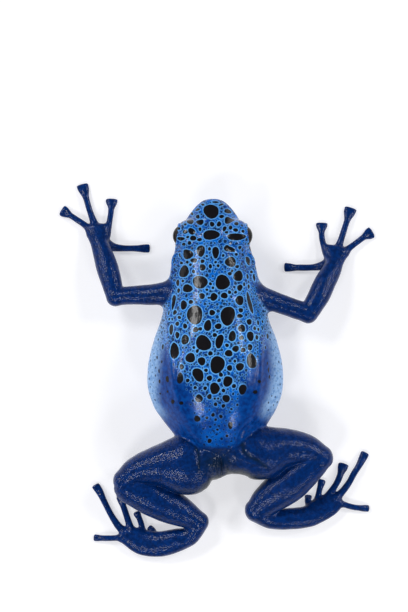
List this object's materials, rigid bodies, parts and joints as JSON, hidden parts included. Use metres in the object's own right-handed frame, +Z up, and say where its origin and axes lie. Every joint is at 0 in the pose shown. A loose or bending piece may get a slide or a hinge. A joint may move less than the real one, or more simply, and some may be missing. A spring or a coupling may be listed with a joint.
{
  "type": "blue poison dart frog",
  "caption": "Still life-size blue poison dart frog, low on all fours with spread hands and folded hind legs, sky-blue back with black spots and dark-blue limbs.",
  "frame": {"origin": "middle of the footprint, on the floor under the belly", "axes": "+Z up, -Y ahead to the snout, +X to the frog's left"},
  "size_m": [0.0492, 0.0582, 0.0133],
  "materials": {
    "spotted_skin": "moist glossy sky-blue skin with black spots",
    "navy_skin": "moist glossy dark-blue skin, finely grained",
    "eye": "wet black eye"
  },
  "bodies": {
    "root": {"head": "spotted_skin", "lower_jaw": "spotted_skin", "torso": "spotted_skin", "eye_left": "eye", "eye_right": "eye", "upper_arm_left": "navy_skin", "forearm_left": "navy_skin", "hand_left": "navy_skin", "finger_1_left": "navy_skin", "finger_2_left": "navy_skin", "finger_3_left": "navy_skin", "finger_4_left": "navy_skin", "thigh_left": "navy_skin", "shank_left": "navy_skin", "tarsus_left": "navy_skin", "foot_left": "navy_skin", "toe_1_left": "navy_skin", "toe_2_left": "navy_skin", "toe_3_left": "navy_skin", "toe_4_left": "navy_skin", "toe_5_left": "navy_skin", "upper_arm_right": "navy_skin", "forearm_right": "navy_skin", "hand_right": "navy_skin", "finger_1_right": "navy_skin", "finger_2_right": "navy_skin", "finger_3_right": "navy_skin", "finger_4_right": "navy_skin", "thigh_right": "navy_skin", "shank_right": "navy_skin", "tarsus_right": "navy_skin", "foot_right": "navy_skin", "toe_1_right": "navy_skin", "toe_2_right": "navy_skin", "toe_3_right": "navy_skin", "toe_4_right": "navy_skin", "toe_5_right": "navy_skin"}
  },
  "joints": []
}
